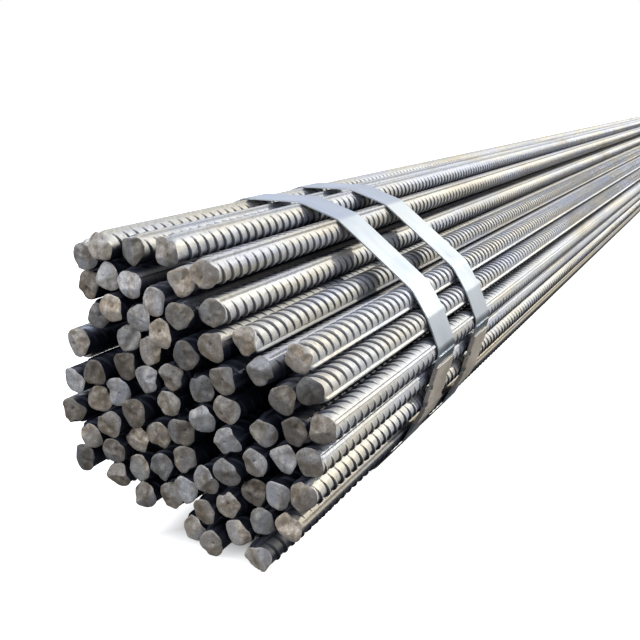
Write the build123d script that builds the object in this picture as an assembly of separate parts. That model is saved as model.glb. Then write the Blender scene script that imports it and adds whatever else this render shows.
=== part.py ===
from build123d import *
import math
import os

os.makedirs("parts", exist_ok=True)

# Ribbed bar of 16 mm nominal size, lengths in mm
bar_length = 6000.0
core_diameter = 15.4
crescent_height = 1.45
crescent_end_height = 0.85
long_rib_share = 0.96
long_rib_width = 1.9
bar_gap = 0.1

# Bar ends
end_stagger = 12.0
set_back = 60.0
shear_lean = 0.9

# Strap and where it goes round the bundle
strap_width = 32.0
strap_thickness = 0.9
strap_slack = 0.1
end_to_first_strap = 173.0
strap_spacing = 85.0

# Lap of the strap and the seal crimped over it, with their height and rise on the bundle's side
# as shares of the bar pitch
joint_height_share = 2.9
lap_rise_share = 3.15
seal_rise_share = 2.3
seal_wall = 1.0
seal_slack = 0.12
notch_depth = 3.2
notch_width = 4.0
notch_spacing = 13.0
overrun = 6.0

# How the bars settle against each other
settle_steps = 400
drawn_count = 1
pushed_count = 6
spread_share = 0.92
pull_share = 0.2
touching_share = 1.004
kept_share = 0.99

core_radius = core_diameter / 2
crest_radius = core_radius + crescent_height
long_rib_radius = core_radius + long_rib_share * crescent_height
bar_pitch = 2 * crest_radius + bar_gap
front = -(bar_length + set_back) / 2
bottom_bar_height = strap_thickness + strap_slack + crest_radius
joint_height = bottom_bar_height + joint_height_share * bar_pitch

# Places of the bars in layers from the floor up: share of the bar pitch to the
# right and up as seen from the front end, the turn of the long ribs as a share
# of half a turn, and how far the end stands back as a share of the stagger
layer_shares = [
    [(-0.3, 0.0, 0.7, 1.2), (0.7, 0.0, 0.4, 0.4), (1.6, 0.4, 0.1, 0.6), (2.6, 0.0, 0.5, 0.1)],
    [(-2.2, 1.2, 0.5, 0.8), (-1.0, 1.3, 0.9, 1.1), (0.4, 0.9, 0.2, 0.4), (2.6, 1.1, 0.5, 0.8),
     (3.5, 1.2, 0.1, 0.6), (-0.2, 1.7, 0.6, 0.5), (1.4, 1.6, 0.3, 0.5), (-3.4, 1.8, 0.0, 0.8)],
    [(-4.7, 2.1, 0.4, 0.4), (-2.2, 2.1, 0.8, 0.7), (2.3, 2.2, 0.5, 0.7), (0.5, 2.4, 0.9, 0.3),
     (-1.3, 2.4, 0.1, 0.5), (3.3, 2.4, 0.7, 0.3), (-3.3, 2.6, 0.2, 0.4), (4.3, 2.7, 0.4, 0.0)],
    [(1.5, 2.9, 0.6, 0.1), (-0.3, 3.0, 0.3, 0.6), (-4.3, 3.0, 0.75, 0.3), (-2.2, 3.2, 0.0, 0.7),
     (2.5, 3.4, 0.2, 0.3), (-3.4, 3.6, 0.5, 0.1), (-1.3, 3.6, 0.8, 0.5), (3.6, 3.8, 0.9, 0.5)],
    [(4.6, 3.8, 0.2, 0.1), (1.6, 3.9, 0.1, 0.2), (-5.1, 3.8, 0.75, 0.4), (-0.3, 3.9, 0.4, 0.3),
     (-2.4, 4.2, 0.7, 0.2), (2.9, 4.4, 0.5, 0.5), (0.6, 4.4, 0.0, 0.3), (-4.0, 4.5, 0.8, 0.9)],
    [(4.0, 4.7, 0.8, 0.4), (-0.9, 4.8, 0.1, 0.5), (-4.9, 4.9, 0.8, 0.6), (-3.1, 4.8, 0.4, 0.8),
     (1.6, 5.0, 0.3, 0.3), (5.1, 5.0, 0.2, 0.2), (-4.0, 5.5, 0.7, 0.5), (-0.4, 5.7, 0.5, 0.2)],
    [(-1.8, 5.6, 0.2, 0.5), (0.6, 5.6, 0.7, 0.3), (3.6, 5.7, 0.1, 0.4), (1.5, 6.0, 0.9, 0.0),
     (-2.6, 6.0, 0.3, 0.8), (4.6, 6.1, 0.85, 0.4), (-4.6, 6.3, 0.7, 0.6), (2.9, 6.4, 0.4, 0.3),
     (-5.6, 5.8, 0.5, 2.5)],
    [(-1.5, 6.5, 0.6, 0.6), (0.1, 6.7, 0.0, 0.1), (-2.5, 6.9, 0.5, 0.8), (1.1, 7.0, 0.2, 0.2),
     (-0.9, 7.2, 0.9, 0.0), (4.0, 7.1, 0.8, 0.9), (2.2, 7.3, 0.8, 0.6), (-3.7, 7.4, 0.6, 0.9)],
    [(-1.9, 7.6, 0.7, 0.3), (-2.9, 7.8, 0.3, 0.2), (-0.1, 7.9, 0.4, 0.0), (1.0, 8.1, 0.35, 0.3),
     (-1.1, 8.3, 0.0, 0.1), (-4.0, 8.4, 0.6, 0.8), (-3.1, 8.8, 0.8, 0.6)],
    [(-2.1, 8.9, 0.2, 0.2), (-0.1, 9.1, 0.3, 0.4), (-4.1, 9.3, 0.5, 0.5), (0.9, 9.5, 0.35, 0.2),
     (-3.1, 9.8, 0.45, 0.0), (-2.05, 9.9, 0.4, 0.5), (-0.7, 10.1, 0.4, 0.5)],
]
set_back_shares = [(-1.3, 0.0, 0.2), (0.5, 3.4, 0.5), (2.2, 5.4, 0.2), (-3.5, 6.4, 0.8)]


def settled(places):
    """Bars pushed apart where they would overlap and drawn onto their neighbours."""
    across = [place[0] * spread_share for place in places]
    up = [place[1] * spread_share for place in places]
    on_floor = [place[1] == 0 for place in places]
    count = len(places)
    for step in range(settle_steps):
        for i in range(count):
            near = sorted((math.hypot(across[j] - across[i], up[j] - up[i]), j)
                          for j in range(count) if j != i)
            loose = [pair for pair in near[:drawn_count] if pair[0] > touching_share]
            for distance, j in loose[:1]:
                pull = pull_share * (distance - 1) * kept_share ** step
                across[i] += (across[j] - across[i]) / distance * pull
                up[i] += (up[j] - up[i]) / distance * pull
            for distance, j in near[:pushed_count]:
                push = max(1 - distance, 0) / 2
                side, rise = (across[j] - across[i]) / distance, (up[j] - up[i]) / distance
                across[i] -= side * push
                up[i] -= rise * push
                across[j] += side * push
                up[j] += rise * push
            up = [0 if flat else max(height, 0) for flat, height in zip(on_floor, up)]
    return [(-a * bar_pitch, bottom_bar_height + u * bar_pitch) for a, u in zip(across, up)]


def bar_section(roll_share):
    """Section over the ribs: two crescents, with a long rib standing on each side between them."""
    end_radius = core_radius + crescent_end_height
    crescent_radius = (end_radius ** 2 + crest_radius ** 2) / (2 * crest_radius)
    crescent_offset = crest_radius - crescent_radius
    section = Pos(0, crescent_offset) * Circle(crescent_radius)
    section += Pos(0, -crescent_offset) * Circle(crescent_radius)
    section += Rectangle(2 * long_rib_radius, long_rib_width)
    return Rot(0, 0, -180 * roll_share) * section


def bar(place, roll_share, start, turn_share):
    """One bar from its sheared front end at start to its sheared far end."""
    y, z = place
    lean = shear_lean / (2 * crest_radius)
    lean_y = lean * math.cos(2 * math.pi * turn_share)
    lean_z = lean * math.sin(2 * math.pi * turn_share)
    rod = extrude(Plane.YZ * bar_section(roll_share), bar_length + 2 * overrun)
    rod = Pos(start - overrun, y, z) * rod
    front_cut = Plane(origin=(start, y, z), z_dir=(1, lean_y, lean_z))
    far_cut = Plane(origin=(start + bar_length, y, z), z_dir=(-1, lean_y, lean_z))
    rod = split(rod, bisect_by=front_cut, keep=Keep.TOP)
    return split(rod, bisect_by=far_cut, keep=Keep.TOP)


def outer_places(places):
    """Centres of the bars that a tight strap rests on, in order round the bundle."""
    def chain(points):
        kept = []
        for point in points:
            while len(kept) > 1 and turn(kept[-2], kept[-1], point) <= 0:
                kept.pop()
            kept.append(point)
        return kept[:-1]

    def turn(a, b, c):
        return (b[0] - a[0]) * (c[1] - a[1]) - (b[1] - a[1]) * (c[0] - a[0])

    ordered = sorted(places)
    return chain(ordered) + chain(ordered[::-1])


def band(inner, outer, width, middle):
    """Band of the given width stretched round the bars, between two distances from their ribs."""
    outline = make_face(Polyline(*outer_places(places), close=True))
    ring = offset(outline, crest_radius + outer) - offset(outline, crest_radius + inner)
    return Pos(middle - width / 2, 0, 0) * extrude(Plane.YZ * ring, width)


def joint_window(rise):
    """Block that holds the stretch of band on the lower right side where the strap is joined."""
    return Pos(0, -reach / 2, joint_height) * Box(2 * strap_width, reach, rise)


def strap():
    """Closed steel strap with its end lapped over its start."""
    outer = strap_slack + strap_thickness
    lap = band(outer, outer + strap_thickness, strap_width, 0)
    return band(strap_slack, outer, strap_width, 0) + (lap & joint_window(lap_rise_share * bar_pitch))


def seal():
    """Seal folded over the lap and both edges of the strap, with crimp notches along its edges."""
    inner = strap_slack + 2 * strap_thickness + seal_slack
    width = strap_width + 2 * (seal_slack + seal_wall)
    body = band(inner, inner + seal_wall, width, 0)
    for side in (-1, 1):
        body += band(strap_slack, inner, seal_wall, side * (width - seal_wall) / 2)
    body = body & joint_window(seal_rise_share * bar_pitch)
    for side in (-1, 1):
        for step in (-1, 1):
            cut = Box(2 * notch_depth, reach, notch_width)
            height = joint_height + step * notch_spacing / 2
            body -= Pos(side * width / 2, -reach / 2, height) * cut
    return body


# Bars, layer by layer
all_shares = [share for layer in layer_shares for share in layer] + set_back_shares
places = settled(all_shares)
reach = max(-y for y, z in places) + crest_radius + overrun
number = 0
for layer, shares in enumerate(layer_shares):
    rods = []
    for share in shares:
        rods.append(bar(places[number], share[2], front + end_stagger * share[3], share[3]))
        number += 1
    export_step(Compound(children=rods), f"parts/bar_layer_{layer + 1:02d}.step")

# Bars that lie set back from the front end
rods = []
for share in set_back_shares:
    rods.append(bar(places[number], share[2], front + set_back, share[2]))
    number += 1
export_step(Compound(children=rods), "parts/set_back_bars.step")

# Two straps near each end, each with its seal
from_end = [end_to_first_strap, end_to_first_strap + strap_spacing]
middles = [front + distance for distance in from_end] + [-front - distance for distance in reversed(from_end)]
one_strap = strap()
one_seal = seal()
for index, middle in enumerate(middles):
    export_step(Pos(middle, 0, 0) * one_strap, f"parts/strap_{index + 1}.step")
    export_step(Pos(middle, 0, 0) * one_seal, f"parts/seal_{index + 1}.step")
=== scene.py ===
# %% [markdown]
# # A strapped bundle of ribbed steel bars
#
# The bundle lies on a pale floor with its sheared bar ends towards us.
# The solids of the bars, straps and seals come in as a fixed frame.
# They already have the right places and sizes, so this lesson only gives them
# what a rolling mill, a shear and a strapping machine leave on them: slanted
# ribs, torn ends, scale, rust and bright bands.
# All lengths are in metres. The bars run along x, away from the shown end.

# %% Load the frame
import math

import bpy
import numpy as np
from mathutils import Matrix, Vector


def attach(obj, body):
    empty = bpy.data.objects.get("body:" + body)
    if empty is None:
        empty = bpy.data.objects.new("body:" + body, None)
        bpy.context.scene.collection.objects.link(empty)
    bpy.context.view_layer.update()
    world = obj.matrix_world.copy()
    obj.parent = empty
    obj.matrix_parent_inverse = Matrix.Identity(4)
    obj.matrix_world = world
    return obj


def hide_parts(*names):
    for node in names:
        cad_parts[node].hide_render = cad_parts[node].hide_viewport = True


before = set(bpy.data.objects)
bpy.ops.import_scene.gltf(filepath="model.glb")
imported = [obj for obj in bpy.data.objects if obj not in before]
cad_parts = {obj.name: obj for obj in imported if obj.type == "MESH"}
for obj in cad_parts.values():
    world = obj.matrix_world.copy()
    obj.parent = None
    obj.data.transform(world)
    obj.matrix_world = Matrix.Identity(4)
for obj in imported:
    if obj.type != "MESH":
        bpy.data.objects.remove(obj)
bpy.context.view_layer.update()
bar_nodes = sorted(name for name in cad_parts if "bar" in name)

# %% [markdown]
# ## Splitting a node into its bars
#
# A node of the frame holds several bars that lie side by side.
# Blender can split such a mesh with its separate tool, but that makes new
# objects, and we only need the points.
# The bars don't touch, so each one is an island of faces. Every corner of a face
# takes the lowest label of the three, again and again, until a whole island has
# one label.

# %% Bars as islands
kept_digits = 6


def islands(node):
    """Vertex places of each separate solid in a node."""
    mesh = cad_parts[node].data
    places = np.empty(len(mesh.vertices) * 3)
    mesh.vertices.foreach_get("co", places)
    places = np.round(places.reshape(-1, 3), kept_digits)
    kept, index = np.unique(places, axis=0, return_inverse=True)
    label = np.arange(len(kept))
    corners = np.empty(len(mesh.loops), int)
    mesh.loops.foreach_get("vertex_index", corners)
    corners = index.ravel()[corners].reshape(-1, 3)
    while True:
        lowest = label[corners].min(1)
        before = label.copy()
        for side in range(3):
            np.minimum.at(label, corners[:, side], lowest)
        label = label[label]
        if (label == before).all():
            return [kept[label == one] for one in np.unique(label)]


bar_points = [(node, points) for node in bar_nodes for points in islands(node)]
print("bars", len(bar_points))

# %% [markdown]
# ## Reading each bar
#
# To dress a bar we need its axis, the place of both ends, how its ends lean and
# where its two long ribs stand.
# These numbers could be typed in, but they would go wrong as soon as a bar moves
# in the solids. So we measure them: a plane fitted through the points of an end
# gives its place and lean. The long ribs stand at the turn at which most points
# lie half a rib's width beside a line through the axis.

# %% Read the bars
long_rib_half_width = 0.00095
rib_flank_tolerance = 0.00003
turn_step = 0.5


def long_rib_turn(outline):
    """Angle of the long ribs from the right-hand side upwards, from one end's outline."""
    turns = np.radians(np.arange(0, 180, turn_step))
    aside = np.abs(outline @ np.array([np.sin(turns), np.cos(turns)]))
    hits = (np.abs(aside - long_rib_half_width) < rib_flank_tolerance).sum(0)
    best = hits == hits.max()
    return float(np.angle(np.exp(2j * turns[best]).mean()) / 2)


def read_bar(node, points):
    """Axis, ends, lean of the ends and turn of the long ribs of one bar."""
    middle = (points[:, 1:].min(0) + points[:, 1:].max(0)) / 2
    half = (points[:, 0].min() + points[:, 0].max()) / 2
    at_front = points[:, 0] < half
    ends = []
    for part in (points[at_front], points[~at_front]):
        table = np.c_[np.ones(len(part)), part[:, 1:] - middle]
        ends.append(np.linalg.lstsq(table, part[:, 0], rcond=None)[0])
    return {"node": node, "y": middle[0], "z": middle[1], "front": ends[0], "far": ends[1],
            "turn": long_rib_turn(points[at_front][:, 1:] - middle)}


bars = [read_bar(node, points) for node, points in bar_points]
print("turns of the first bars", [round(math.degrees(bar["turn"])) for bar in bars[:8]])

# %% [markdown]
# ## How sheltered each side of a bar is
#
# Where bars lie close together little light gets in, and shade falls there.
# The steel's colour is darkened to match: painted shade in the gaps between the
# bars and on the undersides of the lowest bars. The open sides stay bright.
# Noise alone can't do this, because the shade follows the gaps.
# So we look outwards from many points round each bar and count how many of the
# lines of sight pass the other bars and the floor. The undersides of the lowest
# bars count as sheltered too.
# The same numbers tell later which ribs can be seen at all.

# %% Openness round each bar
direction_step, widest_look, look_count = 5, 75, 11
start_radius, blocking_radius, floor_distance = 0.0088, 0.0086, 0.12
underside_slope, underside_shift, underside_shade_height = 1.5, 0.1, 0.07
directions = np.radians(np.arange(0, 360, direction_step))
spread = np.radians(np.linspace(-widest_look, widest_look, look_count))
axes = np.array([[bar["y"], bar["z"]] for bar in bars])


def outwards(angle):
    """Direction away from a bar's axis at angles from its right-hand side upwards."""
    return np.stack([-np.cos(angle), np.sin(angle)], -1)


def open_shares(number):
    """Share of open sight in each direction round a bar."""
    height = axes[number, 1]
    start = start_radius * outwards(directions)
    sight = outwards(directions[:, None] + spread)
    apart = np.delete(axes, number, 0) - axes[number] - start[:, None, None]
    along = (apart * sight[:, :, None]).sum(-1)
    aside = np.abs(apart[..., 0] * sight[:, :, None, 1] - apart[..., 1] * sight[:, :, None, 0])
    clear = ~((along > 0) & (aside < blocking_radius)).any(-1)
    clear &= height + start[:, None, 1] > -floor_distance * sight[..., 1]
    share = (clear * np.cos(spread)).sum(1) / np.cos(spread).sum()
    # Painted shade on the undersides: sides that face down count as shaded, less so on higher bars.
    lit = underside_slope * np.sin(directions) - underside_shift + (height / underside_shade_height) ** 2
    return share * np.clip(lit, 0, 1)


for number, bar in enumerate(bars):
    bar["open"] = open_shares(number)
print("bars with an open side", sum(bar["open"].max() > 0 for bar in bars))

# %% [markdown]
# ## Painted shade along a bar
#
# The painted shade in the gaps is blackest near the ends of the bundle.
# Further along it thins out, so the bars there come out lighter.
# It could be a texture, but two small functions answer for any point of a bar: how
# open it is, and how far the painted shade has thinned out.

# %% Painted shade along a bar
full_shade_reach, shade_thinning_reach, shade_thinning_gain = 0.3, 1.0, 0.14


def openness(bar, angle):
    """Share of open sight at given angles round a bar."""
    return np.interp(np.mod(angle, 2 * math.pi), directions, bar["open"], period=2 * math.pi)


def shade_thinned(bar, x):
    """How far the painted shade has thinned out at places along a bar, from 0 near its ends to 1."""
    to_end = np.minimum(x - bar["front"][0], bar["far"][0] - x)
    return np.clip((to_end - full_shade_reach) / shade_thinning_reach, 0, 1)


print("top of the first bar", round(float(openness(bars[0], math.pi / 2)), 2))

# %% [markdown]
# ## Section of a bar
#
# The section is a round core with two long ribs, where the two rolls of the mill
# meet and steel is pressed out between them.
# It could be a curve with a bevel, but then the ends would be flat discs.
# So we make a ring of points that follows the outline, and later place such
# rings along the bar ourselves.

# %% Outline of the core
core_radius, arc_steps = 0.0077, 15
long_rib_radius, long_rib_foot, long_rib_top = 0.00909, 0.0013, 0.0008


def core_outline():
    """Radius and angle of the points round the section, from one long rib round to itself."""
    foot, top = long_rib_foot / core_radius, long_rib_top / long_rib_radius
    arc = np.linspace(foot, math.pi - foot, arc_steps + 1)[1:-1]
    radius, angle = [], []
    for start in (0, math.pi):
        radius += [core_radius, long_rib_radius, long_rib_radius, core_radius]
        angle += [start - foot, start - top, start + top, start + foot]
        radius += [core_radius] * len(arc)
        angle += list(start + arc)
    return np.array(radius), np.array(angle)


ring_radius, ring_angle = core_outline()
ring_count = len(ring_radius)
print("points round a bar", ring_count)

# %% [markdown]
# ## Meshes from arrays
#
# A bundle has tens of thousands of ribs. Made one by one as objects or with
# bmesh they would take minutes.
# Arrays go into a mesh in a few calls, so a heap gathers patches of points and
# quads until one layer of bars is complete.
# It also keeps a material slot for each face, and four finish values for each
# point that the materials read later: tone, unshaded share (painted shade on the
# bars, smoothness on the sheared ends), warmth and edge.


# %% Meshes from arrays
class Heap:
    """Vertices, faces and finish values gathered for one mesh."""

    sharp_angle = math.radians(38)

    def __init__(self):
        self.points, self.faces, self.slots, self.finish = [], [], [], []
        self.count = 0

    def add(self, points, faces, slot, tone, unshaded_and_smooth, warm, edge=0.5):
        """Adds a patch with its material slot and four finish values from 0 to 1."""
        self.points.append(points)
        self.faces.append(faces + self.count)
        self.slots.append(np.full(len(faces), slot))
        values = [np.broadcast_to(value, (len(points),)) for value in (tone, unshaded_and_smooth, warm, edge)]
        self.finish.append(np.stack(values, -1))
        self.count += len(points)

    def mesh(self, name):
        """One mesh of all patches, smooth but for its sharp edges."""
        points = np.concatenate(self.points)
        faces = np.concatenate(self.faces)
        mesh = bpy.data.meshes.new(name)
        mesh.vertices.add(len(points))
        mesh.vertices.foreach_set("co", points.ravel())
        mesh.loops.add(faces.size)
        mesh.loops.foreach_set("vertex_index", faces.ravel())
        mesh.polygons.add(len(faces))
        mesh.polygons.foreach_set("loop_start", np.arange(len(faces)) * 4)
        mesh.polygons.foreach_set("material_index", np.concatenate(self.slots))
        finish = mesh.attributes.new("finish", "FLOAT_COLOR", "POINT")
        finish.data.foreach_set("color", np.concatenate(self.finish).ravel())
        mesh.update(calc_edges=True)
        mesh.validate()
        mesh.polygons.foreach_set("use_smooth", np.ones(len(mesh.polygons), bool))
        mesh.set_sharp_from_angle(angle=self.sharp_angle)
        return mesh


# %% Quads over grids and rings
def grid_faces(rows, columns, closed):
    """Quads between neighbouring rows of a grid of points, closed round or open."""
    across = np.arange(columns if closed else columns - 1)
    row, column = np.meshgrid(np.arange(rows - 1), across, indexing="ij")
    after = (column + 1) % columns
    quads = np.stack([row * columns + column, row * columns + after,
                      (row + 1) * columns + after, (row + 1) * columns + column], -1)
    return quads.reshape(-1, 4)


def closing_faces(count):
    """Quads from side to side across a ring of points, which close it."""
    step = np.arange(count // 2 - 1)
    return np.stack([step, step + 1, count - 2 - step, count - 1 - step], -1)


print("quads that close a ring of", ring_count, "points:", len(closing_faces(ring_count)))

# %% [markdown]
# ## Rim of a sheared end
#
# The bars are cut cold with a blunt shear. The blades press flats on the rim,
# bite a piece out of it and leave a burr.
# A displaced disc would stay round, so we draw the rim itself: a circle cut by a
# few straight flats, with one bite and one burr. A seeded random generator gives
# every bar its own.

# %% Rim of a sheared end
rim_radius, rim_waver = 0.00885, 0.00012
flat_count, flat_range, least_facing = 5, (0.0068, 0.0086), 0.3
bite_range, burr_range, bite_sharpness = (-0.0019, 0), (0, 0.001), 12
rim_own_share, rim_side_share = 0.7, 0.15


def rim_outline(angle, marks):
    """Radius of the rim of a sheared face, with flats where the blades pressed."""
    radius = np.full(ring_count, rim_radius) + marks.normal(0, rim_waver, ring_count)
    for turn in marks.uniform(0, 2 * math.pi, flat_count):
        flat = marks.uniform(*flat_range)
        facing = np.cos(angle - turn)
        cut = np.minimum(radius, flat / np.maximum(facing, least_facing))
        radius = np.where(facing > least_facing, cut, radius)
    for size in (marks.uniform(*bite_range), marks.uniform(*burr_range)):
        turn = marks.uniform(0, 2 * math.pi)
        radius = radius + size * np.exp(bite_sharpness * (np.cos(angle - turn) - 1))
    beside = np.roll(radius, 1) + np.roll(radius, -1)
    return rim_own_share * radius + rim_side_share * beside


print("flats on a rim", flat_count)

# %% [markdown]
# ## Slopes of a sheared end
#
# The blade first cuts a fairly smooth slope and rolls the edge over. Then the
# rest breaks off along another slope that is rough, and a burr is left where it
# parts. Now and then a pit is torn out.
# Bump in a material would look flat from the side, so all of it is real depth:
# two slopes that meet in a ridge, with waves of three lengths for the tear.

# %% Slopes of a sheared end
ridge_range, ridge_width = (-0.4, 0.4), 0.12
cut_slope_range, tear_slope_range = (0.0003, 0.0022), (0.0008, 0.0034)
roll_range, roll_start = (0.0005, 0.0018), 0.55
lip_range, lip_start = (0, 0.0006), 0.8
wave_lengths, waves_each, wave_unit = (0.012, 0.007, 0.0042), 3, 0.025
pit_offset, pit_size_range, pit_chance = 0.0025, (0.0006, 0.0013), 0.4


def rising(value, start):
    """0 up to a start, then rising to 1 where the value is 1."""
    return np.clip((value - start) / (1 - start), 0, 1)


def draw_cut(marks):
    """Direction, ridge, slopes, rolled edge and lip of one cut."""
    return {"turn": marks.uniform(0, 2 * math.pi), "ridge": marks.uniform(*ridge_range),
            "cut": marks.uniform(*cut_slope_range), "tear": marks.uniform(*tear_slope_range),
            "roll": marks.uniform(*roll_range), "lip": marks.uniform(*lip_range)}


def slope_depth(across, cut):
    """Depth of the two slopes, the rolled edge and the lip, by the place across the face."""
    past = across - cut["ridge"]
    depth = np.where(past > 0, cut["cut"] * past, -cut["tear"] * past)
    return depth + cut["roll"] * rising(across, roll_start) ** 2 - cut["lip"] * rising(-across, lip_start)


def torn(y, z, marks):
    """Uneven height over a torn face, about one unit high."""
    height = np.zeros_like(y)
    for length in wave_lengths:
        for _ in range(waves_each):
            turn, phase = marks.uniform(0, 2 * math.pi, 2)
            along = y * math.cos(turn) + z * math.sin(turn)
            height += length * np.sin(along * 2 * math.pi / length + phase)
    return height / wave_unit


def pit(y, z, marks):
    """A round pit near the middle of some faces, from 0 to 1."""
    pit_y, pit_z = marks.normal(0, pit_offset, 2)
    size = marks.uniform(*pit_size_range)
    shape = np.exp(-((y - pit_y) ** 2 + (z - pit_z) ** 2) / size ** 2)
    return shape * (marks.uniform(0, 1) < pit_chance)


print("waves over a torn face", len(wave_lengths) * waves_each)

# %% [markdown]
# ## Faces of the sheared ends
#
# A face is a set of rings from the rim to the middle, closer together near the
# rim, where most happens. The rim's own outline shrinks towards the middle, and
# the slopes, waves and pits push each point along the bar.
# The last ring is tiny and closed with a few quads.
# The function also says how smooth each point is and whether it lies at the
# edge or in a pit, because the material colours them differently.

# %% Sheared face
face_shares = np.array([1.0, 0.95, 0.88, 0.78, 0.66, 0.52, 0.38, 0.24, 0.1, 0.01])
face_radius, tear_depth, cut_calm = 0.0085, 0.0005, 0.75
rim_depth, rim_start, pit_depth, edge_start = 0.0004, 0.88, 0.0008, 0.9


def sheared_face(bar, end, sign, marks):
    """Points of one sheared face from rim to middle, their smoothness and their edge value."""
    angle = ring_angle + bar["turn"]
    cut = draw_cut(marks)
    shares = face_shares[:, None]
    radius = rim_outline(angle, marks) * shares
    y, z = -radius * np.cos(angle), radius * np.sin(angle)
    across = radius * np.cos(angle - cut["turn"]) / face_radius
    smooth = np.clip((across - cut["ridge"]) / ridge_width + 0.5, 0, 1)
    depth = slope_depth(across, cut) + tear_depth * torn(y, z, marks) * (1 - cut_calm * smooth)
    hollow = pit(y, z, marks)
    depth = depth + rim_depth * rising(shares, rim_start) ** 2 + pit_depth * hollow
    # The edge value is 1 at the rim, where the material paints a highlight, and 0 in a pit.
    edge = 0.5 + 0.5 * rising(shares, edge_start) - 0.5 * hollow
    base, lean_y, lean_z = bar[end]
    x = base + lean_y * y + lean_z * z + sign * depth
    return np.stack([x, bar["y"] + y, bar["z"] + z], -1), smooth, edge


print("points on a sheared face", len(face_shares) * ring_count)

# %% [markdown]
# ## Body of a bar
#
# Behind the rim the steel goes over from the torn outline to the rolled one
# within a few millimetres, and then runs straight to the other end.
# So rings lie close together at the ends. Along the straight length there are
# only two more on each side, where the painted shade starts and stops thinning out,
# because the colour between rings is blended evenly.

# %% Body of a bar
side_slot, end_slot = 0, 1
rim_reach = 0.014
ring_steps = ((0.0007, 0.4), (0.0025, 0.85), (0.006, 1.0), (rim_reach, 1.0),
              (full_shade_reach, 1.0), (full_shade_reach + shade_thinning_reach, 1.0))


def bar_ring(bar, end, depth, grow):
    """Ring of the bar's outline near an end, grown so far from the rim's shape to its own."""
    rim, angle = bar[end + "_rim"], ring_angle + bar["turn"]
    y = bar["y"] - ring_radius * np.cos(angle)
    z = bar["z"] + ring_radius * np.sin(angle)
    x = bar[end][0] + depth + (rim[:, 0] - bar[end][0]) * max(1 - abs(depth) / rim_reach, 0)
    return np.c_[x, rim[:, 1] + (y - rim[:, 1]) * grow, rim[:, 2] + (z - rim[:, 2]) * grow]


def add_end(heap, bar, end, sign, marks):
    """Adds one sheared face to the heap and keeps its rim with the bar."""
    face, smooth, edge = sheared_face(bar, end, sign, marks)
    middle = (len(face_shares) - 1) * ring_count + closing_faces(ring_count)
    faces = np.concatenate([grid_faces(len(face_shares), ring_count, True), middle])
    faces = faces if sign > 0 else faces[:, ::-1]
    tone, warm = marks.uniform(0, 1, 2)
    heap.add(face.reshape(-1, 3), faces, end_slot, tone, smooth.ravel(), warm, edge.ravel())
    bar[end + "_rim"] = face[0]


def add_body(heap, bar, marks):
    """Adds a bar with both sheared ends to the heap."""
    for end, sign in (("front", 1), ("far", -1)):
        add_end(heap, bar, end, sign, marks)
    rows = [bar["front_rim"]] + [bar_ring(bar, "front", depth, grow) for depth, grow in ring_steps]
    rows += [bar_ring(bar, "far", -depth, grow) for depth, grow in reversed(ring_steps)]
    rows.append(bar["far_rim"])
    open_share = openness(bar, ring_angle + bar["turn"])
    # Painted shade: openness round the bar, lifted where the shade thins out along it.
    unshaded_and_smooth = np.concatenate([open_share + shade_thinning_gain * shade_thinned(bar, row[:, 0]) for row in rows])
    faces = grid_faces(len(rows), ring_count, True)[:, ::-1]
    heap.add(np.concatenate(rows), faces, side_slot, bar["tone"], unshaded_and_smooth, bar["warm"])


print("rings along a bar", 2 * len(ring_steps) + 2)

# %% [markdown]
# ## Crescent ribs
#
# Between the long ribs each side of the bar carries a row of slanted ribs. They
# are highest in the middle and run out to nothing, like a crescent.
# They could be bump, but they are what makes the bar grip, and they show in its
# outline, so they are real.
# One rib is drawn as a small grid of points. Close to the shown end it has a
# flat top and many steps, and further off fewer.
# Each point also carries a value for wear and painted shade: the top is worn
# bright, and the flanks and the corner at the foot get painted shade.

# %% One crescent rib
rib_spacing, rib_height, sunk_depth = 0.0088, 0.00145, 0.0001
sharp_top_gain = 1.2
rib_slant = -math.tan(math.radians(26))
rib_start_angle, rib_fullness = 0.2, 0.7
sunk_radius = core_radius - sunk_depth
# Per point across a rib: 1 on the worn top, lower on the flanks and at the foot, where shade is painted.
flat_top = {"height": rib_height, "across": np.array([-0.0019, -0.0006, 0.0005, 0.0016]),
            "rise": np.array([0, 1, 1, 0]), "wear_and_shade": np.array([0.03, 0.3, 1, 0.15])}
sharp_top = {"height": sharp_top_gain * rib_height, "across": np.array([-0.0017, 0, 0.0016]),
             "rise": np.array([0, 1, 0]), "wear_and_shade": np.array([0.1, 0.8, 0.3])}


def crescent(steps, profile):
    """One rib: distance along, angle from the long rib, radius, wear and painted shade of its points, and
    its faces.
    """
    share = np.linspace(0, 1, steps + 1)
    angle = rib_start_angle + share * (math.pi - 2 * rib_start_angle)
    swell = np.sin(np.pi * share)
    height = profile["height"] * swell ** rib_fullness
    along = rib_slant * core_radius * (angle - math.pi / 2)
    x = along[:, None] + profile["across"] * (0.5 + 0.5 * swell)[:, None]
    radius = sunk_radius + height[:, None] * profile["rise"]
    columns = len(profile["across"])
    wear_and_shade = np.tile(profile["wear_and_shade"], steps + 1)
    return x.ravel(), np.repeat(angle, columns), radius.ravel(), wear_and_shade, grid_faces(steps + 1, columns, False)


fine_rib, plain_rib, far_rib = crescent(10, flat_top), crescent(6, flat_top), crescent(3, sharp_top)
print("faces in a rib", len(fine_rib[-1]), len(plain_rib[-1]), len(far_rib[-1]))

# %% [markdown]
# ## A row of ribs
#
# The rolls press the ribs in one after another, all alike and evenly spaced.
# An array modifier could repeat them, but a rib near an end has to stop at the
# torn rim, and each one needs its own painted shade.
# So the rib's points are added to a whole column of places at once, which numpy
# does in one step. At the rim they are clipped and sink into the core.

# %% A row of ribs
rib_inset, rib_runout, foot_shade_thinning = 0.0008, 0.0012, 0.8


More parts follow.
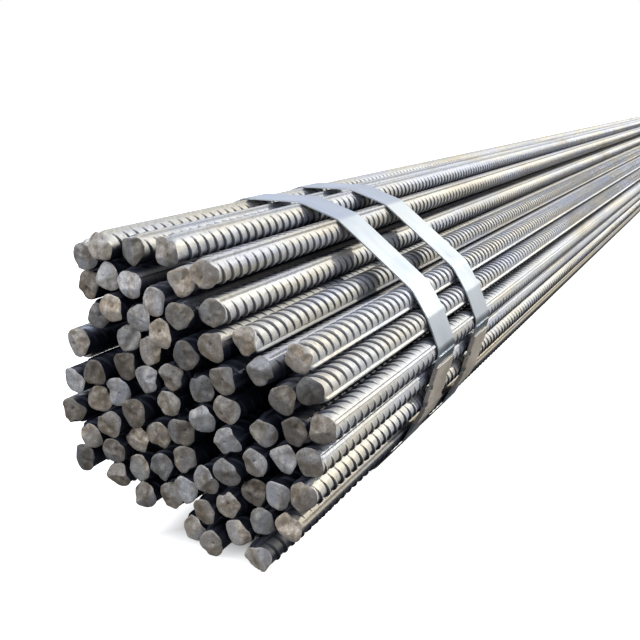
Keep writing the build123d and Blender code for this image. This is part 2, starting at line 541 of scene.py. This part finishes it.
def add_ribs(heap, bar, side, stations, rib):
    """Adds ribs on one side of a bar at the given places along it."""
    if not len(stations):
        return
    along, around, radius, wear_and_shade, faces = rib
    angle = around + bar["turn"] + side * math.pi
    near, far = (np.interp(around + side * math.pi, ring_angle, bar[end + "_rim"][:, 0], period=2 * math.pi)
                 for end in ("front", "far"))
    near, far = near + rib_inset, far - rib_inset
    x = np.clip(stations[:, None] + along, near, far)
    whole = np.clip(np.minimum(x - near, far - x) / rib_runout, 0, 1)
    radius = sunk_radius + (radius - sunk_radius) * whole
    y = bar["y"] - radius * np.cos(angle)
    z = bar["z"] + radius * np.sin(angle)
    shade_thinned_out = shade_thinned(bar, stations[:, None])
    # Painted shade on the ribs: openness, thinned along the bar, darker still on the flanks and at the
    # foot.
    unshaded_and_smooth = (openness(bar, angle) + shade_thinning_gain * shade_thinned_out) * (wear_and_shade + foot_shade_thinning * (1 - wear_and_shade) * shade_thinned_out)
    shifts = (np.arange(len(stations)) * len(along))[:, None, None]
    heap.add(np.stack([x, y, z], -1).reshape(-1, 3), (faces + shifts).reshape(-1, 4), side_slot,
             bar["tone"], unshaded_and_smooth.ravel(), bar["warm"])


print("ribs on one side of a bar about", round((bars[0]["far"][0] - bars[0]["front"][0]) / rib_spacing))

# %% [markdown]
# ## Which ribs are made
#
# All ribs at full detail would be several million triangles, and most of them
# are hidden inside the bundle.
# A side that hardly any line of sight reaches gets ribs only near the ends,
# where one can look in. Away from the shown end the ribs get plainer, and the
# plainest are mixed in little by little, so that no seam shows.

# %% Choose the ribs
fine_reach, fade_start, fade_end, back_reach = 0.35, 0.9, 1.6, 0.2
sheltered_share, gap_reach = 0.2, 0.5
hidden_share, hidden_reach = 0.04, 0.06
rib_start, mixing_step = 0.002, 0.618


def rib_stations(bar, side, first):
    """Places of the ribs along one side of a bar, only near its ends where the side is sheltered."""
    stations = np.arange(first + 0.5 * side * rib_spacing, bar["far"][0] - rib_start, rib_spacing)
    half = np.mod(directions - bar["turn"] - side * math.pi, 2 * math.pi) < math.pi
    widest = bar["open"][half].max()
    if widest >= sheltered_share:
        return stations
    to_end = np.minimum(stations - bar["front"][0], bar["far"][0] - stations)
    return stations[to_end < (gap_reach if widest > hidden_share else hidden_reach)]


def add_side(heap, bar, side, first):
    """Adds all ribs of one side: fine ones, plain ones, and the plainest mixed in further off."""
    stations = rib_stations(bar, side, first)
    reach, left = stations - bar["front"][0], bar["far"][0] - stations
    mixed = np.mod(mixing_step * np.arange(len(stations)), 1)
    fine = reach < fine_reach
    coarse = (mixed < (reach - fade_start) / (fade_end - fade_start)) & (left > back_reach)
    for chosen, rib in ((fine, fine_rib), (~fine & ~coarse, plain_rib), (coarse, far_rib)):
        add_ribs(heap, bar, side, stations[chosen], rib)


print("plainest ribs from", fade_start, "to", fade_end, "m")

# %% [markdown]
# ## Dressing the bars
#
# Now every bar gets its body and its ribs, and the bars of a layer become one
# piece that stands for that layer's solids.
# One generator hands each bar a seed of its own, so that a change to one bar
# leaves the marks on all others as they are.

# %% Dress the bars
bundle_seed, seed_limit = 16, 1 << 30
rng = np.random.default_rng(bundle_seed)
bar_pieces = []
for node in bar_nodes:
    heap = Heap()
    for bar in [one for one in bars if one["node"] == node]:
        marks = np.random.default_rng(rng.integers(seed_limit))
        bar["tone"], bar["warm"] = marks.uniform(0, 1, 2)
        add_body(heap, bar, marks)
        first = bar["front"][0] + rib_start + marks.uniform(0, rib_spacing)
        for side in (0, 1):
            add_side(heap, bar, side, first)
    piece = bpy.data.objects.new("ribbed_" + node, heap.mesh("ribbed_" + node))
    bpy.context.scene.collection.objects.link(piece)
    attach(piece, "root")
    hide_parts(node)
    bar_pieces.append(piece)
counts = {piece.name: 2 * len(piece.data.polygons) for piece in bar_pieces}
print("triangles", counts, "in all", sum(counts.values()))

# %% [markdown]
# ## Materials from nodes
#
# All finishes are built from noise in the object's own metres, so their grain
# has a real size and needs no unwrapping. Pictures of steel would need it, and
# would repeat along six metres of bar.
# A few helpers keep the node code short: they add a node with its settings, make
# noise, map a value from one span to another, and mix colours.


# %% Node helpers
def add(tree, kind, inputs=None, **settings):
    """Adds a node, with socket values by name or number and other settings."""
    node = tree.nodes.new("ShaderNode" + kind)
    for name, value in settings.items():
        setattr(node, name, value)
    for name, value in (inputs or {}).items():
        node.inputs[name].default_value = value
    return node


def finish_material(name, metal):
    """New material with its node tree, its shader and the place in metres at hand."""
    material = bpy.data.materials.new(name)
    material.use_nodes = True
    tree = material.node_tree
    shader = tree.nodes["Principled BSDF"]
    shader.inputs["Metallic"].default_value = metal
    place = add(tree, "TexCoord").outputs["Object"]
    return material, tree, shader, place


def noise(tree, place, scale, detail=3.0, stretch=None):
    """Noise value between 0 and 1 at a scale per metre, stretched along the axes if asked."""
    if stretch:
        mapping = add(tree, "Mapping", {"Scale": stretch})
        tree.links.new(place, mapping.inputs["Vector"])
        place = mapping.outputs["Vector"]
    texture = add(tree, "TexNoise", {"Scale": scale, "Detail": detail})
    tree.links.new(place, texture.inputs["Vector"])
    return texture.outputs["Fac"]


def ramp(tree, value, span, to=(0.0, 1.0)):
    """Maps a value from one span to another and stops at its ends."""
    limits = {"From Min": span[0], "From Max": span[1], "To Min": to[0], "To Max": to[1]}
    node = add(tree, "MapRange", limits)
    tree.links.new(value, node.inputs["Value"])
    return node.outputs["Result"]


print("noise and ramps ready")


# %% Colour helpers
def blend(tree, share, first, second, mode="MIX"):
    """Mixes two colours, each a socket or three numbers, by a share that is a socket or a number."""
    node = add(tree, "Mix", data_type="RGBA", blend_type=mode)
    for name, value in (("Factor", share), ("A", first), ("B", second)):
        socket = node.inputs[name]
        if isinstance(value, bpy.types.NodeSocket):
            tree.links.new(value, socket)
        else:
            socket.default_value = value if isinstance(value, float) else (*value, 1)
    return node.outputs["Result"]


def tint(tree, colour, other, value, span, shares=(0.0, 1.0)):
    """Mixes another colour in as a value goes through a span, from one share to the other."""
    return blend(tree, ramp(tree, value, span, shares), colour, other)


def bar_values(tree):
    """Tone, unshaded share (smoothness on the ends), warmth and edge value stored with the bar's points."""
    own = add(tree, "Attribute", attribute_name="finish")
    parts = add(tree, "SeparateColor")
    tree.links.new(own.outputs["Color"], parts.inputs["Color"])
    return parts.outputs["Red"], parts.outputs["Green"], parts.outputs["Blue"], own.outputs["Alpha"]


def join_finish(tree, shader, colour, rough, height, strength, distance):
    """Joins a colour, a roughness and a bump height to a shader."""
    tree.links.new(colour, shader.inputs["Base Color"])
    tree.links.new(rough, shader.inputs["Roughness"])
    bump = add(tree, "Bump", {"Strength": strength, "Distance": distance})
    tree.links.new(height, bump.inputs["Height"])
    tree.links.new(bump.outputs["Normal"], shader.inputs["Normal"])


print("colour helpers ready")

# %% [markdown]
# ## Rolled steel of the bars
#
# The bars have the grey of hot-rolled steel, some warmer and some colder. It is
# streaked along their length, with a tan or lavender tint from the heat, bright
# and dark grains and thin rust here and there.
# One noise for all would look like plaster, so each of these has its own scale
# and stretch.
# Where the bars shelter each other the steel is darkened to near black: painted
# shade in the gaps and under the bars, thinned out away from the ends.
# How open a place is was stored with the mesh, so the material only reads it.

# %% Rolled steel
cool_grey, warm_grey, rust_grey = (0.555, 0.595, 0.665), (0.665, 0.625, 0.515), (0.42, 0.33, 0.25)
streak_blue, heat_tan, heat_lavender = (0.44, 0.47, 0.54), (0.67, 0.61, 0.49), (0.52, 0.57, 0.74)
bright_grain, dark_grain = (0.82, 0.80, 0.74), (0.33, 0.30, 0.27)
thin_rust, painted_shade_black = (0.32, 0.26, 0.21), (0.038, 0.044, 0.066)

bar_steel, tree, shader, place = finish_material("bar_steel", 0.5)
tone, unshaded_and_smooth, warm, _ = bar_values(tree)
streaks = noise(tree, place, 60.0, 4.0, (0.06, 1, 1))
grain = noise(tree, place, 420.0, 4.0)
patches = noise(tree, place, 28.0, 5.0, (0.35, 1, 1))
tints = noise(tree, place, 85.0, 3.0, (0.1, 1, 1))
colour = blend(tree, warm, cool_grey, warm_grey)
colour = tint(tree, colour, rust_grey, warm, (0.75, 1.0), (0.0, 0.4))
colour = tint(tree, colour, streak_blue, streaks, (0.35, 0.65), (0.0, 0.5))
colour = tint(tree, colour, heat_tan, tints, (0.5, 0.66), (0.0, 0.55))
colour = tint(tree, colour, heat_lavender, tints, (0.34, 0.5), (0.6, 0.0))
colour = tint(tree, colour, bright_grain, grain, (0.45, 0.7), (0.0, 0.45))
colour = tint(tree, colour, dark_grain, grain, (0.28, 0.45), (0.5, 0.0))
colour = tint(tree, colour, thin_rust, patches, (0.56, 0.74), (0.0, 0.4))
colour = blend(tree, 1.0, colour, ramp(tree, tone, (0.0, 1.0), (0.8, 1.0)), "MULTIPLY")
# Painted shade: the unshaded share from the mesh blends the colour towards near black.
colour = blend(tree, ramp(tree, unshaded_and_smooth, (0.0, 0.3)), painted_shade_black, colour)
rough = ramp(tree, streaks, (0.3, 0.7), (0.6, 0.74))
join_finish(tree, shader, colour, rough, grain, 0.25, 0.0003)
print("nodes in", bar_steel.name, len(tree.nodes))

# %% [markdown]
# ## Torn steel of the ends
#
# The cut part of a face is smooth and grey, the broken part rough and brown from
# a little rust. Some ends are browner and some bluer than others, and lumps,
# smears, grit and a painted highlight along the rim finish them.
# The mesh knows which part is which and gives each end its own tone, so this
# needs no masks painted by hand.

# %% Torn steel
torn_brown, cut_grey = (0.42, 0.38, 0.33), (0.45, 0.45, 0.455)
rusty_end, blue_end = (0.43, 0.35, 0.26), (0.42, 0.45, 0.51)
smear_brown, lump_grey, grit_black = (0.23, 0.185, 0.13), (0.68, 0.67, 0.65), (0.14, 0.12, 0.10)
rim_highlight, pit_rust = (0.70, 0.68, 0.62), (0.09, 0.05, 0.03)

torn_steel, tree, shader, place = finish_material("torn_steel", 0.45)
tone, smooth, warm, edge = bar_values(tree)
lumps = noise(tree, place, 260.0, 5.0)
grit = noise(tree, place, 1100.0, 3.0)
smears = noise(tree, place, 130.0, 4.0, (1, 1, 0.5))
colour = blend(tree, smooth, torn_brown, cut_grey)
colour = tint(tree, colour, rusty_end, warm, (0.3, 1.0), (0.0, 0.6))
colour = tint(tree, colour, blue_end, warm, (0.0, 0.3), (0.7, 0.0))
colour = tint(tree, colour, smear_brown, smears, (0.45, 0.66), (0.0, 0.8))
colour = tint(tree, colour, lump_grey, lumps, (0.48, 0.66), (0.0, 0.5))
colour = tint(tree, colour, grit_black, grit, (0.55, 0.7), (0.0, 0.6))
# Painted highlight: a light band along the rim of each end.
colour = tint(tree, colour, rim_highlight, edge, (0.5, 1.0), (0.0, 0.25))
colour = tint(tree, colour, pit_rust, edge, (0.0, 0.45), (0.85, 0.0))
colour = blend(tree, 1.0, colour, ramp(tree, tone, (0.0, 1.0), (0.43, 1.35)), "MULTIPLY")
rough = ramp(tree, grit, (0.3, 0.7), (0.52, 0.68))
join_finish(tree, shader, colour, rough, lumps, 0.6, 0.001)
print("nodes in", torn_steel.name, len(tree.nodes))

# %% [markdown]
# ## Strap and seal steel
#
# The strap is bright steel band: smooth, with fine lines from rolling and a few
# dull stains. Fully metallic, it takes most of its brightness from the room.
# The seals are duller zinc-coated sheet with specks of rust, so they are only
# half metallic and show more of their own colour.

# %% Strap and seal steel
strap_dark, strap_light, strap_stain = (0.42, 0.48, 0.55), (0.52, 0.56, 0.60), (0.36, 0.35, 0.34)
seal_dark, seal_light, seal_rust = (0.60, 0.545, 0.475), (0.74, 0.69, 0.63), (0.22, 0.17, 0.12)

strap_steel, tree, shader, place = finish_material("strap_steel", 1.0)
lines = noise(tree, place, 40.0, 3.0, (30, 1, 1))
stains = noise(tree, place, 26.0, 4.0)
colour = blend(tree, ramp(tree, lines, (0.35, 0.65)), strap_dark, strap_light)
colour = tint(tree, colour, strap_stain, stains, (0.5, 0.75), (0.0, 0.5))
rough = ramp(tree, stains, (0.3, 0.7), (0.3, 0.45))
join_finish(tree, shader, colour, rough, lines, 0.08, 0.0002)
print("nodes in", strap_steel.name, len(tree.nodes))

seal_steel, tree, shader, place = finish_material("seal_steel", 0.5)
stains = noise(tree, place, 60.0, 4.0)
grain = noise(tree, place, 500.0, 3.0)
colour = blend(tree, ramp(tree, stains, (0.35, 0.65)), seal_dark, seal_light)
colour = tint(tree, colour, seal_rust, grain, (0.58, 0.75), (0.0, 0.6))
rough = ramp(tree, stains, (0.3, 0.7), (0.4, 0.6))
join_finish(tree, shader, colour, rough, grain, 0.3, 0.0003)
print("nodes in", seal_steel.name, len(tree.nodes))

# %% [markdown]
# ## Putting the finishes on
#
# The solids of the straps and seals have the right shape already, so they stay
# and only get their finish.
# A solid's edge is perfectly sharp, and no light catches on it. A bevel of a
# fifth of a millimetre mends that, and as a modifier it leaves the solid as it is.

# %% Put the finishes on
edge_bevel, bevel_steps = 0.0002, 2
for piece in bar_pieces:
    piece.data.materials.append(bar_steel)
    piece.data.materials.append(torn_steel)
for name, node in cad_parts.items():
    if name.startswith(("strap", "seal")):
        node.data.materials.clear()
        node.data.materials.append(strap_steel if name.startswith("strap") else seal_steel)
        bevel = node.modifiers.new("fine_edge", "BEVEL")
        bevel.width, bevel.segments, bevel.limit_method = edge_bevel, bevel_steps, "ANGLE"
print("materials", [material.name for material in bpy.data.materials])

# %% [markdown]
# ## Floor
#
# The floor is plain and so pale that it runs into the white room behind it.
# A lit floor alone comes out grey, so it glows everywhere but under the bundle,
# where it stays darker and lets the bundle sit on it.
# It is kept out of the reflections, so the undersides of the bars fall dark.

# %% Floor
floor_reach, lowest_axis = 40, 0.015
dark_half_width, dark_half_length = (0.02, 0.05), (2.99, 3.03)
corners = [(-1, -1), (1, -1), (1, 1), (-1, 1)]
floor_mesh = bpy.data.meshes.new("pale_floor")
floor_mesh.from_pydata([(x * floor_reach, y * floor_reach, 0) for x, y in corners], [], [(0, 1, 2, 3)])
floor = bpy.data.objects.new("pale_floor", floor_mesh)
floor.location.y = np.mean([bar["y"] for bar in bars if bar["z"] < lowest_axis])
bpy.context.scene.collection.objects.link(floor)

floor_paint, tree, shader, place = finish_material("floor_paint", 0.0)
rough = ramp(tree, noise(tree, place, 3.0), (0.3, 0.7), (0.75, 0.85))
tree.links.new(rough, shader.inputs["Roughness"])
shader.inputs["Base Color"].default_value = (0.86, 0.86, 0.86, 1)
shader.inputs["Emission Color"].default_value = (1, 1, 1, 1)
spot = add(tree, "SeparateXYZ")
tree.links.new(place, spot.inputs["Vector"])
clear = add(tree, "Math", operation="MAXIMUM")
for number, (axis, span) in enumerate((("Y", dark_half_width), ("X", dark_half_length))):
    away = add(tree, "Math", operation="ABSOLUTE")
    tree.links.new(spot.outputs[axis], away.inputs[0])
    tree.links.new(ramp(tree, away.outputs["Value"], span), clear.inputs[number])
tree.links.new(clear.outputs["Value"], shader.inputs["Emission Strength"])
floor_mesh.materials.append(floor_paint)
floor.visible_diffuse = floor.visible_glossy = False
print("floor reaches", floor_reach, "m")

# %% [markdown]
# ## Key and fill light
#
# A warm key stands far off, ahead of us to the right and a third of the way up.
# It rakes along the bars, lights their flanks and leaves the near side of each
# rib dark. A spot would fade along six metres of bar, so it is a sun lamp.
# A weak fill from the left front opens up the sheared ends.


# %% Light
def aimed(way):
    """Rotation of a lamp or camera that looks along a direction."""
    return way.to_track_quat("-Z", "Y").to_euler()


to_key = Vector((0.65, -0.54, 0.54)).normalized()
sun = bpy.data.lights.new("key", "SUN")
sun.energy, sun.angle, sun.color = 2.6, math.radians(2.0), (1.0, 0.955, 0.815)
key = bpy.data.objects.new("key", sun)
key.rotation_euler = aimed(-to_key)
bpy.context.scene.collection.objects.link(key)

fill_back, fill_aside, fill_height, face_height = 1.3, 0.75, 0.75, 0.09
shown_end = float(np.mean([bar["front"][0] for bar in bars if bar["node"] != "set_back_bars"]))
soft = bpy.data.lights.new("fill", "AREA")
soft.energy, soft.size, soft.color = 15.0, 1.2, (1.0, 0.99, 0.975)
fill = bpy.data.objects.new("fill", soft)
fill.location = (shown_end - fill_back, fill_aside, fill_height)
fill.rotation_euler = aimed(Vector((shown_end, 0, face_height)) - fill.location)
bpy.context.scene.collection.objects.link(fill)
print("shown end at", round(shown_end, 3))

# %% [markdown]
# ## Room
#
# Metal shows what stands round it, so the room matters as much as the lamps.
# It is a soft blue-grey, brighter ahead than behind us, with a glow round the
# key and a dark ground. The camera itself sees plain white instead, which a
# light path node switches for the background alone.

# %% Room
horizon, zenith = (1.05, 1.08, 1.20), (0.83, 0.89, 1.09)
key_glow, dark_ground, ahead = (1.25, 1.2, 1.1), (0.1, 0.1, 0.1), (1, -0.2, 0.1)
world = bpy.data.worlds.new("room")
bpy.context.scene.world = world
world.use_nodes = True
tree = world.node_tree
way = add(tree, "TexCoord").outputs["Generated"]
parts = add(tree, "SeparateXYZ")
tree.links.new(way, parts.inputs["Vector"])
height = parts.outputs["Z"]


def towards(direction):
    """How far a line of sight points in a direction, from -1 to 1."""
    node = add(tree, "VectorMath", {1: Vector(direction).normalized()}, operation="DOT_PRODUCT")
    tree.links.new(way, node.inputs[0])
    return node.outputs["Value"]


room = blend(tree, ramp(tree, height, (0.0, 0.6)), horizon, zenith)
room = blend(tree, 1.0, room, ramp(tree, towards(ahead), (-0.7, 0.5), (0.2, 1.0)), "MULTIPLY")
room = tint(tree, room, key_glow, towards(to_key), (0.6, 1.0), (0.0, 0.8))
room = blend(tree, ramp(tree, height, (-0.1, 0.1)), dark_ground, room)
back = tree.nodes["Background"]
tree.links.new(room, back.inputs["Color"])
white = add(tree, "Background", {"Color": (1, 1, 1, 1), "Strength": 1.0})
seen = add(tree, "MixShader")
tree.links.new(add(tree, "LightPath").outputs["Is Camera Ray"], seen.inputs["Fac"])
tree.links.new(back.outputs["Background"], seen.inputs[1])
tree.links.new(white.outputs["Background"], seen.inputs[2])
tree.links.new(seen.outputs["Shader"], tree.nodes["World Output"].inputs["Surface"])
print("room nodes", len(tree.nodes))

# %% [markdown]
# ## Camera
#
# The camera looks along the bars from a little above and to the right, so that
# both the sheared ends and the ribbed flank show.
# It could be moved about by eye, but the bars tell more: the point where they run
# together gives its two angles, and the places of the ends in the frame give its
# lens and where it stands.

# %% Camera
frame_pixels, focal_pixels, sensor_width = 640, 850, 36
camera_back, camera_aside, camera_height = 0.3671, 0.1839, 0.2652
heading, pitch = math.radians(26.9), math.radians(15.2)
nearest, furthest = 0.01, 200

camera_data = bpy.data.cameras.new("camera")
camera_data.sensor_width = sensor_width
camera_data.lens = focal_pixels / frame_pixels * sensor_width
camera_data.clip_start, camera_data.clip_end = nearest, furthest
camera = bpy.data.objects.new("camera", camera_data)
right_side = min(bar["y"] for bar in bars)
camera.location = (shown_end - camera_back, right_side - camera_aside, camera_height)
level = math.cos(pitch)
view = Vector((math.cos(heading) * level, math.sin(heading) * level, -math.sin(pitch)))
camera.rotation_euler = aimed(view)
bpy.context.scene.collection.objects.link(camera)
bpy.context.scene.camera = camera
bpy.context.scene.view_settings.view_transform = "Standard"
print("camera", tuple(round(v, 3) for v in camera.location))

# %% [markdown]
# ## Sizes
#
# The dressed bundle has to stay as big as the solids. Here the scene is only
# brought up to date.

# %% Sizes
bpy.context.view_layer.update()
